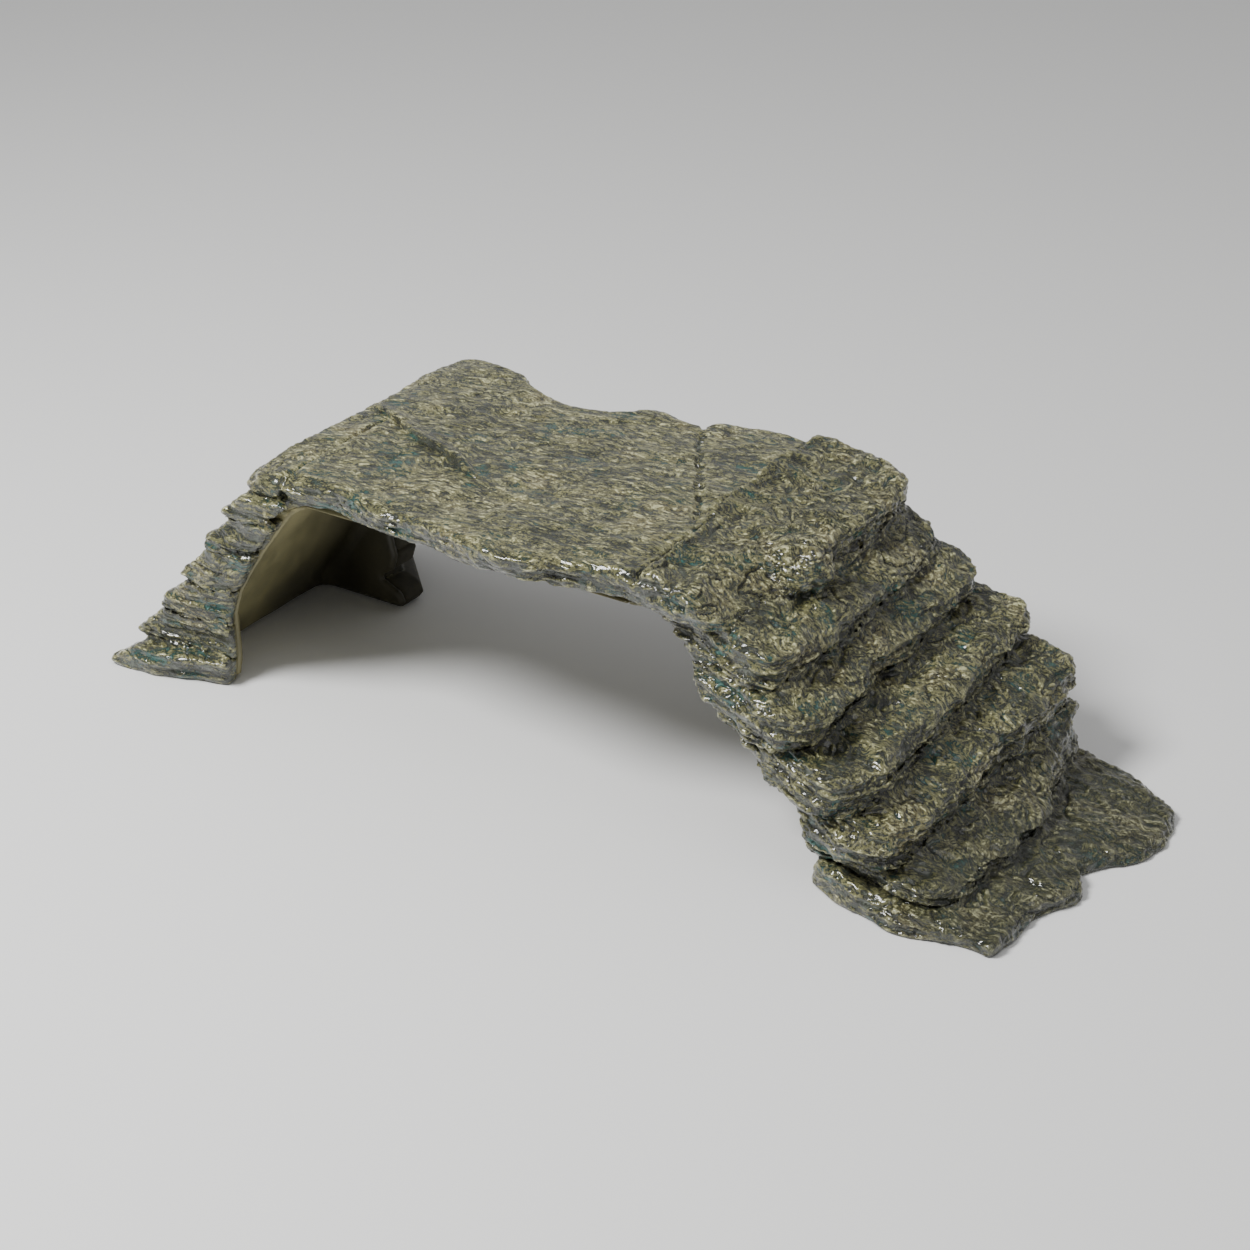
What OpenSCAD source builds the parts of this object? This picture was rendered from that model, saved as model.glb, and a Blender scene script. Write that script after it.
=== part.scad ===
// Resin cave ornament: an arched bridge of stacked rock slabs, with stair treads down one side.
// The slabs lie flat, one on another, and a thin cream resin skin lines the cave beneath them.
// The origin is on the ground, midway between both feet and midway between front and back.
// +X runs from the steep leg to the stairs, +Y runs from front to back, +Z is up.

/* [Overall] */
// Length from the tip of the steep foot to the tip of the apron
overall_l = 400; // [390:1:410]
// Depth from front to back
overall_d = 140; // [138:1:146]
// Height of the deck above the ground
deck_h = 98; // [97:1:101]
// How far the ragged edges of the slabs wander inwards
rough = 4; // [1:0.5:5]

/* [Deck] */
// Thickness of the deck
deck_t = 12; // [10:1:13]
// Left end of the deck slab, where the top ledge of the steep leg begins
deck_left = -116; // [-118:1:-112]
// Right end of the deck slab, where the raised end slab begins
deck_right = 32; // [28:1:36]
// Right edge of the end slab
end_right = 80; // [78:1:82]
// Height of the end slab above the deck
end_rise = 2; // [1:0.5:3]
// Thickness of the raised plate at the rear left of the deck
plate_t = 5; // [3:1:7]
// Height of the rounded block that stands on the second tread
block_h = 14; // [10:1:15]

/* [Steep leg] */
// Step outwards from each ledge to the one beneath it
ledge_step = 11.5; // [11:0.5:12]
// Thickness of the steep leg at the ground, from its outer tip to the cave
leg_wall = 22; // [20:1:24]

/* [Stairs] */
// Rise of one tread
rise = 16; // [15:0.5:16.5]
// Going of one tread
going = 17; // [16:0.5:18]
// Thickness of the apron
apron_t = 5; // [4:0.5:6]
// Step of the arch's flank from each tread to the one beneath it
flank_step = 15; // [14:0.5:15.5]
// Level distance from the inner corner of a tread to the cave
tread_back = 12; // [10:1:13]

/* [Cave] */
// Thickness of the cheeks that close the cave in front and behind
cheek_t = 12; // [10:1:14]
// Thickness of the steep leg's heavy rear foot
rear_foot_t = 43; // [36:1:44]
// Thickness of the cream resin skin
skin_t = 3; // [2:0.5:3.5]
// Gap between the lower edge of the skin and the ground
skin_lift = 2; // [1:0.5:3]

/* [Hidden] */
LEDGES = 7;
STEPS = 6;

edge_points = 40;
box_power = 6;
far = 400;
half_l = overall_l / 2;
half_d = overall_d / 2;
deck_under = deck_h - deck_t;
skin_split = deck_left + 6;
foot_end = deck_left - 2;

// Joints between the ledges beneath the deck, as shares of the height of the cave
ledge_joints = [0, 0.13, 0.30, 0.49, 0.68, 0.87, 1];

// Front and rear reach of each tread, counted down from the end slab
step_front = [-65, -63, -68, -half_d, -68, -64];
step_back = [half_d, 63, 66, 69, 67, 66];

function nose_x(k) = end_right + going * (k - 1);
function flank_x(k) = end_right - 36 + flank_step * (k - 2);
function step_top(k) = k == 1 ? deck_h + end_rise : deck_h - rise * (k - 1);
function step_bottom(k) = k == STEPS ? apron_t : deck_h - rise * k;

// Walls of the cave at height z, under the steep leg and under the stairs
function cave_left_x(z) = -half_l + leg_wall + (deck_left - 6 + half_l - leg_wall) * z / deck_under;
function cave_right_x(z) = end_right - tread_back + (step_top(2) - z) * going / rise;

// Where the front and rear skin stop, short of the flank of the stairs
function skin_flank_x(z) = flank_x(2) + 6 + (step_top(2) - z) * flank_step / rise;

// A rounded box outline whose edge wanders inwards by up to bite
function wander(a, seed) = 0.5 - 0.5 * sin(3 * a + seed) * cos(5 * a - 2 * seed);
function round_box(a) = pow(pow(abs(cos(a)), box_power) + pow(abs(sin(a)), box_power), -1 / box_power);
function ragged(x0, x1, y0, y1, bite, seed) = [
    for (i = [0:edge_points - 1])
        let (
            a = 360 * i / edge_points,
            b = bite * wander(a, seed)
        )
        [
            (x0 + x1) / 2 + ((x1 - x0) / 2 - b) * round_box(a) * cos(a),
            (y0 + y1) / 2 + ((y1 - y0) / 2 - b) * round_box(a) * sin(a)
        ]
];

// Lowest ledge of the steep leg, with its sharp front tip and its rear foot
foot_outline = [
    [-half_l, -68], [-188, -half_d], [-147, -62], [-100, -60], [-100, 20],
    [-134, 26], [-129, 33], [-132, 42], [-142, 54], [-166, 63], [-184, 56],
    [-188, 20], [-184, -8], [-190, -36]
];

// Lobed outline of the apron at the foot of the stairs
apron_outline = [
    [106, -50], [113, -60], [134, -66], [150, -66], [178, -63], [182, -46], [184, -34],
    [189, -26], [190, -15], [186, -7], [189, 2], [198, 14], [half_l, 30], [196, 44],
    [178, 59], [158, 66], [130, 66], [110, 60], [104, 40], [102, -20]
];

// Outline of the deck, between the top ledge and the end slab
deck_outline = [
    [deck_left, -59], [-90, -61], [-60, -65], [-24, -69], [10, -66], [deck_right, -64],
    [deck_right, 69], [0, 66], [-30, 59], [-56, 54], [-80, 58], [-104, 66], [deck_left, 65]
];

// Wedge-shaped outline of the raised plate at the rear left of the deck
plate_outline = [
    [-115, 6], [-104, -1], [-88, -12], [-57, -24], [-50, 8], [-64, 40], [-82, 57], [-104, 65], [-115, 63]
];

end_outline = ragged(deck_right - 40, nose_x(1), step_front[0], step_back[0], rough, 110);

// Steep side of the archway, as seen from the front, before and behind the cave
front_jamb = [[-147, -1], [-145, 38], [-128, 63], [-110, deck_under]];
rear_jamb = [[-128, -1], [-134, 26], [-126, 56], [-110, deck_under]];

// Slanting rear end of the steep foot, behind the cave
foot_slant = [[-136, 38], [-157, 66], [-157, far], [-90, far], [-90, 38]];

// Stair side of the archway, left of every tread
stair_jamb = [[30, deck_under], [36, 66], [50, 48], [62, 32], [76, 16], [88, 4], [90, -1]];

module slab(outline, z0, z1) {
    translate([0, 0, z0])
        linear_extrude(height = z1 - z0)
            polygon(outline);
}

// Everything to the right of x
module right_of(x) {
    translate([x, -far, -far])
        cube(2 * far);
}

// Everything to the left of x
module left_of(x) {
    translate([x - 2 * far, -far, -far])
        cube(2 * far);
}

// A profile in the XZ plane, run along Y from y0 to y1
module run_back(profile, y0, y1) {
    translate([0, y1, 0])
        rotate([90, 0, 0])
            linear_extrude(height = y1 - y0)
                polygon(profile);
}

// The cave between both cheeks, drawn in by inset on every side; it is shallower in the steep leg
module chamber(inset) {
    front_y = -half_d + cheek_t + inset;
    left_wall = [[cave_left_x(-1) + inset, -1], [cave_left_x(deck_under) + inset, deck_under - inset]];
    right_wall = [
        [cave_right_x(deck_under) - inset, deck_under - inset], [cave_right_x(-1) - inset, -1]
    ];
    run_back(concat(left_wall, right_wall), front_y, half_d - rear_foot_t - inset);
    run_back(
        concat([[foot_end + inset, -1], [foot_end + inset, deck_under - inset]], right_wall),
        front_y, half_d - cheek_t - 6 - inset
    );
}

// The archway, which runs through both cheeks
module archway() {
    run_back(concat(front_jamb, stair_jamb), -far, 0);
    run_back(concat(rear_jamb, stair_jamb), 0, far);
}

// Ledge k of the steep leg, counted up from the ground
module left_ledge(k) {
    color("darkslategray")
        difference() {
            slab(
                k == 1 ? foot_outline : ragged(
                    -half_l + ledge_step * (k - 1), -96,
                    -half_d + 4, half_d - 4, rough, 70 * k
                ),
                ledge_joints[k - 1] * deck_under,
                ledge_joints[k] * deck_under
            );
            archway();
            chamber(0);
            slab(foot_slant, -1, ledge_joints[3] * deck_under);
        }
}

// The top ledge, level with the deck
module top_ledge() {
    color("darkslategray")
        difference() {
            slab(ragged(deck_left - 15, -60, -half_d + 7, half_d - 4, rough, 500), deck_under, deck_h);
            right_of(deck_left);
        }
}

module deck_slab() {
    color("slategray")
        slab(deck_outline, deck_under, deck_h);
}

module deck_rear_plate() {
    color("slategray")
        slab(plate_outline, deck_h, deck_h + plate_t);
}

// The raised slab at the head of the stairs
module end_slab() {
    color("dimgray")
        difference() {
            slab(end_outline, step_bottom(1), step_top(1));
            left_of(deck_right);
            chamber(0);
        }
}

// Tread k, counted down from the end slab
module tread(k) {
    color("dimgray")
        difference() {
            slab(
                ragged(flank_x(k), nose_x(k), step_front[k - 1], step_back[k - 1], rough, 110 * k),
                step_bottom(k), step_top(k)
            );
            chamber(0);
        }
}

// The rounded block against the end slab
module nose_block() {
    color("dimgray")
        difference() {
            slab(
                ragged(end_right - 14, end_right + 10, -27, -1, 1, 30),
                step_top(2), step_top(2) + block_h
            );
            slab(end_outline, 0, far);
        }
}

module apron() {
    color("dimgray")
        difference() {
            slab(apron_outline, 0, apron_t);
            chamber(0);
        }
}

// The archway as the skin needs it: under the ceiling skin and clear of the treads' flanks
module skin_mouth() {
    low_jamb = [[skin_flank_x(deck_under - skin_t), deck_under - skin_t], [skin_flank_x(-1), -1]];
    left_top = [[-112, deck_under - skin_t]];
    run_back(concat([for (i = [0:2]) front_jamb[i]], left_top, low_jamb), -far, 0);
    run_back(concat([for (i = [0:2]) rear_jamb[i]], left_top, low_jamb), 0, far);
}

// The cream skin on the cave side of the slabs
module skin() {
    color("darkkhaki")
        difference() {
            chamber(0);
            chamber(skin_t);
            skin_mouth();
            translate([-far, -far, skin_lift - 2 * far])
                cube(2 * far);
        }
}

module skin_left() {
    intersection() {
        skin();
        left_of(skin_split);
    }
}

module skin_deck() {
    difference() {
        skin();
        left_of(skin_split);
        right_of(deck_right);
    }
}

module skin_right() {
    intersection() {
        skin();
        right_of(deck_right);
    }
}

for (k = [1:LEDGES - 1])
    left_ledge(k);
top_ledge();
deck_slab();
deck_rear_plate();
nose_block();
end_slab();  // step_1
for (k = [2:STEPS])
    tread(k);
apron();
skin_left();
skin_deck();
skin_right();
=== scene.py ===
"""Resin cave ornament: the sculpted slabs and the smooth resin skin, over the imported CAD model.

Every slab is one closed mesh, drawn round a field that is below zero inside the rock. Fields work in
millimetres, in the frame's own axes, and the meshes are in metres. Neighbouring slabs share the surface
between them, so that no gap opens at a joint.
"""

import itertools
import math

import bpy
import numpy as np
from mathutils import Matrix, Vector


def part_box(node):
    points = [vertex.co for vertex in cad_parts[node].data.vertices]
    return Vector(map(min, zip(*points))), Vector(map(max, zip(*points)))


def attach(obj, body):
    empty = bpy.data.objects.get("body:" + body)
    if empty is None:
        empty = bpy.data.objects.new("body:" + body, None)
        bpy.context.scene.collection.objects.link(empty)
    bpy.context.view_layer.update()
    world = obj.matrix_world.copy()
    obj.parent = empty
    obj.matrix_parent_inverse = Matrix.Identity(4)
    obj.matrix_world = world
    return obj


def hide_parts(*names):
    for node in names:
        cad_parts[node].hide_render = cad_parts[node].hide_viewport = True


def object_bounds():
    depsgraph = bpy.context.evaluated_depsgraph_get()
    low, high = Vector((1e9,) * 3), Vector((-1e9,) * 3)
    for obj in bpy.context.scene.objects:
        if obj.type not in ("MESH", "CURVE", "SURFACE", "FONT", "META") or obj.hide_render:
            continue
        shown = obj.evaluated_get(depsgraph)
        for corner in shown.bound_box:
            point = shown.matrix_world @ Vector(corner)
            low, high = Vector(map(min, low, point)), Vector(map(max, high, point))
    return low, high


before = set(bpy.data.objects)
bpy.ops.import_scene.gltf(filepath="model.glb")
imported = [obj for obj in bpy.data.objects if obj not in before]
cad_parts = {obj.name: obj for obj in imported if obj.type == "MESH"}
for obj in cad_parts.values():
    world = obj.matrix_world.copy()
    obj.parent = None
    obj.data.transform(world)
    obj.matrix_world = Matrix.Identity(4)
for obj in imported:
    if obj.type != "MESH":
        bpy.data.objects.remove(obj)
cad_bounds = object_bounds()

import openvdb
from mathutils import Vector

MM = 0.001
GRID = 0.7
BODY = "root"
LEDGES = 7
STEPS = 6


# Measures from the frame

def box(node):
    """Lowest and highest corner of a CAD node, in millimetres."""
    low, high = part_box(node)
    return np.array(low) / MM, np.array(high) / MM


def ledge_name(k):
    return f"left_ledge_{k}"


def step_name(k):
    return f"step_{k}" if k <= STEPS else "apron"


LOW, HIGH = (np.array(corner) / MM for corner in cad_bounds)
LEDGE_BOX = {k: box(ledge_name(k)) for k in range(1, LEDGES + 1)}
STEP_BOX = {k: box(step_name(k)) for k in range(1, STEPS + 2)}
DECK_BOX = box("deck_slab")
PLATE_BOX = box("deck_rear_plate")
BLOCK_BOX = box("nose_block")
SKIN_LEFT_BOX = box("skin_left")
SKIN_DECK_BOX = box("skin_deck")
SKIN_RIGHT_BOX = box("skin_right")

DECK_TOP = DECK_BOX[1][2]
CEILING = DECK_BOX[0][2]
DECK_LEFT = DECK_BOX[0][0]
DECK_RIGHT = DECK_BOX[1][0]
SKIN = 3.0


# Small tools for fields

def fade(t):
    """A smooth climb from 0 to 1 as t goes from 0 to 1."""
    t = np.clip(t, 0, 1)
    return t * t * (3 - 2 * t)


def mix(a, b, t):
    return a + (b - a) * t


def both(a, b, radius):
    """Inside a and inside b, with the edge between them rounded."""
    over_a = np.maximum(a + radius, 0)
    over_b = np.maximum(b + radius, 0)
    return np.minimum(np.maximum(a, b), -radius) + np.hypot(over_a, over_b)


def either(a, b, radius):
    """Inside a or inside b, with the corner between them filled."""
    return -both(-a, -b, radius)


def bump(x, y, centre, reach):
    """A round hill, 1 high in the middle, with its slope at about reach."""
    return np.exp(-((x - centre[0]) / reach[0]) ** 2 - ((y - centre[1]) / reach[1]) ** 2)


class Noise:
    """Smooth random hills and hollows between about -1 and 1, the same on every run."""

    CELLS = 32

    def __init__(self, seed):
        slopes = np.random.default_rng(seed).normal(size=(self.CELLS ** 3, 3))
        slopes /= np.linalg.norm(slopes, axis=1, keepdims=True)
        self.slopes = slopes.astype(np.float32)

    def __call__(self, x, y, z):
        shape = np.broadcast_shapes(np.shape(x), np.shape(y), np.shape(z))
        places = [np.broadcast_to(np.asarray(a, np.float32), shape).ravel() for a in (x, y, z)]
        cells = [np.floor(a).astype(np.int32) for a in places]
        parts = [a - c for a, c in zip(places, cells)]
        fades = [a * a * a * (a * (a * 6 - 15) + 10) for a in parts]
        total = np.zeros(places[0].shape, np.float32)
        for corner in itertools.product((0, 1), repeat=3):
            i, j, k = [(c + d) % self.CELLS for c, d in zip(cells, corner)]
            slope = self.slopes[(i * self.CELLS + j) * self.CELLS + k]
            weight = np.ones_like(total)
            height = np.zeros_like(total)
            for axis, d in enumerate(corner):
                weight *= fades[axis] if d else 1 - fades[axis]
                height += slope[:, axis] * (parts[axis] - d)
            total += weight * height
        return (total * 1.7).reshape(shape)


# Where a field calls one of these, each coordinate is divided by the size of the hills along it, in
# millimetres, and the factor in front of the call is the height of the hills
SLOW = Noise(11)
ROUGH = Noise(23)
LAYER = Noise(37)
WARP_X = Noise(41)
WARP_Y = Noise(43)
STREAK = Noise(59)
GRAIN = Noise(61)


class Outline:
    """Signed distance from a smooth closed outline, read off a square lattice."""

    CELL = 1.0
    MARGIN = 16
    BETWEEN = 6

    def __init__(self, corners):
        loop = self.round_off(np.array(corners, float))
        self.low = np.floor(loop.min(axis=0) - self.MARGIN)
        counts = np.ceil((loop.max(axis=0) + self.MARGIN - self.low) / self.CELL).astype(int) + 1
        x = self.low[0] + self.CELL * np.arange(counts[0])[:, None]
        y = self.low[1] + self.CELL * np.arange(counts[1])[None, :]
        nearest = np.full(counts, np.inf)
        inside = np.zeros(counts, bool)
        for a, b in zip(loop, np.roll(loop, -1, axis=0)):
            side = b - a
            along = ((x - a[0]) * side[0] + (y - a[1]) * side[1]) / (side @ side)
            along = np.clip(along, 0, 1)
            away = np.hypot(x - a[0] - along * side[0], y - a[1] - along * side[1])
            nearest = np.minimum(nearest, away)
            crosses = (a[1] > y) != (b[1] > y)
            if a[1] != b[1]:
                inside ^= crosses & (x < a[0] + (y - a[1]) * side[0] / side[1])
        self.table = np.where(inside, -nearest, nearest).astype(np.float32)

    def round_off(self, corners):
        """Extra points on a smooth curve through the corners."""
        before, after, further = (np.roll(corners, -n, axis=0) for n in (-1, 1, 2))
        curve = []
        for i in range(self.BETWEEN):
            t = i / self.BETWEEN
            curve.append(0.5 * (
                2 * corners + (after - before) * t
                + (2 * before - 5 * corners + 4 * after - further) * t * t
                + (3 * corners - before - 3 * after + further) * t ** 3
            ))
        return np.stack(curve, axis=1).reshape(-1, 2)

    def __call__(self, x, y):
        u = np.clip((x - self.low[0]) / self.CELL, 0, self.table.shape[0] - 1.001)
        v = np.clip((y - self.low[1]) / self.CELL, 0, self.table.shape[1] - 1.001)
        i, j = u.astype(np.int32), v.astype(np.int32)
        u, v = u - i, v - j
        near = mix(self.table[i, j], self.table[i + 1, j], u)
        far = mix(self.table[i, j + 1], self.table[i + 1, j + 1], u)
        return mix(near, far, v)


def rounded_box(x, y, low, high, radius):
    """Signed distance from a rectangle with round corners."""
    over_x = np.abs(x - (low[0] + high[0]) / 2) - (high[0] - low[0]) / 2 + radius
    over_y = np.abs(y - (low[1] + high[1]) / 2) - (high[1] - low[1]) / 2 + radius
    outside = np.hypot(np.maximum(over_x, 0), np.maximum(over_y, 0))
    return outside + np.minimum(np.maximum(over_x, over_y), 0) - radius


# The cave beneath the slabs

# The sides of the archway, as heights with their places along X
FRONT_JAMB = (
    (0, -148.5), (12, -146.5), (30, -146.5), (40, -143), (50, -137), (62, -129), (75, -119), (86, -110),
)
REAR_JAMB = (
    (0, -132), (4, -129), (8, -131), (12, -140), (14, -140), (18, -134), (24, -132), (32, -134),
    (42, -136), (60, -128), (86, -110),
)
STAIR_JAMB = (
    (0, 105), (3, 105), (9, 109), (12, 107), (19, 103), (24, 102), (28, 97), (33, 90.5), (38, 89),
    (40, 85), (45, 79), (49, 77.5), (50, 71), (56, 66), (58, 61), (65, 58.5), (69, 55), (74, 49),
    (79, 44), (83, 42), (86, 37),
)
# Thickness of the heavy rear foot, and the place and slope of its slanting end
REAR_FOOT = 43.0
SLANT_FROM = 37.0
SLANT = 1.0
# Height above which the end of the foot is upright again, and how gently it gets there
SLANT_TOP = CEILING + 4
SLANT_FADE = 50
# Slopes of the cave's walls, which turn a level distance into a distance from the wall
JAMB_SLOPE = 0.9
FLANK_SLOPE = 0.8
STEEP_WALL_SLOPE = 0.84
STAIR_WALL_SLOPE = 0.69
MOUTH_SLOPE = 0.7
# How far the slabs reach into the skin, and how far the skin stops short of the flank of the stairs
OVERLAP = 0.6
SKIN_SET_BACK = 5.0


def jamb_x(jamb, z):
    heights, places = zip(*jamb)
    return np.interp(z, heights, places)


def steep_jamb(y, z):
    """The steep side of the opening; the heavy rear foot slants away behind the cave."""
    slant = SLANT * np.maximum(y - SLANT_FROM, 0) * fade((SLANT_TOP - z) / SLANT_FADE)
    return mix(jamb_x(FRONT_JAMB, z), jamb_x(REAR_JAMB, z) - slant, fade((y + 10) / 30))


def archway(x, y, z):
    """The opening that runs through from front to back."""
    left_wall = JAMB_SLOPE * (steep_jamb(y, z) - x)
    right_wall = FLANK_SLOPE * (x - jamb_x(STAIR_JAMB, z))
    return both(both(left_wall, right_wall, 2), z - CEILING, 5)


def chamber(x, y, z):
    """The hollow between the front and the rear cheek."""
    share = z / CEILING
    left_wall = STEEP_WALL_SLOPE * (mix(SKIN_LEFT_BOX[0][0], DECK_LEFT - 6, share) - x)
    right_wall = STAIR_WALL_SLOPE * (x - mix(SKIN_RIGHT_BOX[1][0], STEP_BOX[2][0][0] + 20, share))
    rear = mix(HIGH[1] - REAR_FOOT, SKIN_DECK_BOX[1][1], fade((x + 128) / 30))
    front_wall = SKIN_DECK_BOX[0][1] + 10 * fade((x - DECK_RIGHT) / 20) - y
    hollow = both(both(left_wall, y - rear, 9), front_wall, 5)
    hollow = both(both(hollow, right_wall, 6), z - CEILING, 8)
    return hollow


def cave(x, y, z):
    """All that is cut from the slabs, which reach a little way into the skin."""
    return either(archway(x, y, z), chamber(x, y, z) + OVERLAP, 2)


def skin_mouth(x, y, z):
    """The archway as the skin meets it: under the ceiling skin, and set back from the stairs."""
    left_wall = JAMB_SLOPE * (steep_jamb(y, z) - x)
    right_wall = MOUTH_SLOPE * (x - jamb_x(STAIR_JAMB, z) - SKIN_SET_BACK)
    return both(both(left_wall, right_wall, 2), z - CEILING + SKIN, 4)


def make_skin(left, right):
    """The resin skin between two cross-cuts."""
    def skin(x, y, z):
        hollow = chamber(x, y, z)
        brushed = 0.35 * SLOW(x / 18, y / 18, z / 26)
        shell = both(hollow, -hollow - SKIN + brushed, 0.7)
        shell = both(shell, -skin_mouth(x, y, z), 1.2)
        shell = both(shell, SKIN_LEFT_BOX[0][2] - z, 0.8)
        return np.maximum(shell, np.maximum(left - x, x - right))
    return skin


# Surfaces that the slabs share

# How far each tread lies above the top of its CAD node: inner front, inner rear, nose front, nose rear
TREAD_HEIGHTS = {
    1: (0, 1, -4, -2),
    2: (4, 4, 0, -4),
    3: (2, 9, -4, 3),
    4: (-1, 11, -4, 6),
    5: (-2, 14, -6, 8),
    6: (-2, 8, -8, 0),
    7: (1.5, 2.5, -1, -1),
}
# How far each nose stands beyond its CAD node: front, middle, rear
NOSES = {
    1: (-2, -1, -2),
    2: (-2, -1, -2),
    3: (-4, -3, -3),
    4: (-3, -1, 1),
    5: (-5, -2, 3),
    6: (-5, 1, -10),
    7: (0, 0, 0),
}
# Where the end slab's broken front corner begins, how gently it falls, and how far
BROKEN_CORNER = (56, -8)
BROKEN_RUN = 26
BROKEN_DROP = 11.0
# The thick rim at the front of the apron: its middle, its reach and its height
APRON_RIM = (118, -62)
APRON_RIM_REACH = (22, 9)
APRON_RIM_HEIGHT = 5


def nose_x(k, y):
    """How far tread k reaches, at each place from front to back."""
    if k == 0:
        return DECK_RIGHT + 0 * y
    places = (LOW[1] + 12, 0, HIGH[1] - 12)
    wander = 3.0 * SLOW(2.9 * k, y / 17, 0.5) + 1.3 * SLOW(1.7 * k, y / 7, 0.5)
    return STEP_BOX[k][1][0] + np.interp(y, places, NOSES[k]) + wander * (1 - (y / HIGH[1]) ** 2)


def tread_top(k, x, y):
    """Height of the tread, from under the slab above it to its own nose."""
    base = STEP_BOX[k][1][2]
    inner_front, inner_rear, nose_front, nose_rear = TREAD_HEIGHTS[k]
    back = np.clip((y - LOW[1]) / (HIGH[1] - LOW[1]), 0, 1)
    inner = nose_x(k - 1, y)
    out = np.clip((x - inner) / (nose_x(k, y) - inner), 0, 1.3)
    height = mix(mix(inner_front, inner_rear, back), mix(nose_front, nose_rear, back), out)
    waves = 1.5 * SLOW(x / 24, y / 20, 3.3 * k) + 1.2 * SLOW(x / 9, y / 9, 2.1 * k)
    if k == 1:
        corner = fade((x - BROKEN_CORNER[0]) / BROKEN_RUN) * fade((BROKEN_CORNER[1] - y) / BROKEN_RUN)
        waves = waves - BROKEN_DROP * corner
    if k == STEPS + 1:
        waves = 0.5 * waves + APRON_RIM_HEIGHT * bump(x, y, APRON_RIM, APRON_RIM_REACH)
    return base + height + waves


def from_line(x, y, corners):
    """Distance from a chain of straight lines."""
    nearest = np.inf
    for a, b in zip(corners, corners[1:]):
        run, rise = b[0] - a[0], b[1] - a[1]
        along = np.clip(((x - a[0]) * run + (y - a[1]) * rise) / (run * run + rise * rise), 0, 1)
        nearest = np.minimum(nearest, np.hypot(x - a[0] - along * run, y - a[1] - along * rise))
    return nearest


# The pitted crack across the deck, from its rear edge to the ridge at the end slab
CRACK = ((-12, 66), (-8, 58), (-3, 48), (6, 33), (15, 18), (26, 0), (33, -13))
CRACK_WIDTH = 1.3


def crack_depth(x, y):
    """A shallow groove with deeper pits along it."""
    wobble = 1.4 * ROUGH(x / 9, y / 9, 0.2)
    groove = np.exp(-((from_line(x, y, CRACK) + wobble) / CRACK_WIDTH) ** 2)
    pits = np.clip(ROUGH(x / 2.6, y / 2.6, 4.4) + 0.05, 0, 1)
    return groove * (0.6 + 3.6 * pits)


# The front left corner of the deck, which is worn down
WORN_CORNER = (DECK_LEFT - 22, LOW[1] + 8)
WORN_REACH = (16, 18)
WORN_DEPTH = 5


def deck_top(x, y):
    """The deck, with its bevelled left end, its worn corner, its crack and its slow waves."""
    bevel = 1.6 * np.clip((DECK_LEFT + 4 - x) / 19, 0, 2) ** 1.3
    bevel = bevel + WORN_DEPTH * bump(x, y, WORN_CORNER, WORN_REACH)
    waves = 0.8 * SLOW(x / 34, y / 24, 0.4) + 0.35 * SLOW(x / 12, y / 8, 0.9)
    return DECK_TOP - bevel + waves - crack_depth(x, y)


# Height of the cracked seam behind the broken corner and in front of it, and depth of the cut along it
SEAM = 2.0
SEAM_FRONT = 1.3
SEAM_CUT = 1.5


def course_top(x, y):
    """The whole top course: the deck, the cracked seam along the ridge, and the end slab beyond it."""
    ridge = DECK_RIGHT + 1 + 5 * fade((-5 - y) / 6)
    raised = fade((x - ridge) / 2.2)
    uneven = np.clip(1 + 1.6 * ROUGH(x / 4, y / 4, 6.1), 0, 2)
    cut = SEAM_CUT * np.exp(-(x - ridge + 1) ** 2) * uneven
    wobble = x - ridge - 1.8 + 1.2 * ROUGH(x / 7, y / 7, 2.6)
    height = mix(SEAM_FRONT, SEAM, fade((y + 8) / 8)) * (1 - 0.7 * fade((y - 40) / 20))
    seam = height * np.exp(-np.where(wobble < 0, wobble / 1.4, wobble / 3.0) ** 2)
    return mix(deck_top(x, y), tread_top(1, x, y), raised) + seam - cut


def ground(x, y):
    """Height zero, at every place."""
    return 0 * x * y


def joint_height(k, x, y):
    """The joint above ledge k of the steep leg; the one beneath the top ledge is flat."""
    waves = 1.2 * SLOW(x / 24, y / 30, 5.7 * k) if k < LEDGES - 1 else ground(x, y)
    return LEDGE_BOX[k][1][2] + waves


# Slabs

# How far every slab is grown, because its wandering edges mostly bite inwards
SPARE = 1.0
# Size of the fillet against the slab above: on the flank, on the treads, and what the leg adds to it
FRONT_WELD = 1.4
TREAD_WELD = 5.0
LEG_WELD = 1.2
JAMB_WELD = 3.0
# How close to its edge a slab's outline wanders
WANDER_REACH = 7
# Radius of a slab's lower edge, and of its edges round the cave
LOWER_EDGE = 0.6
CAVE_EDGE = 1.6


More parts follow.
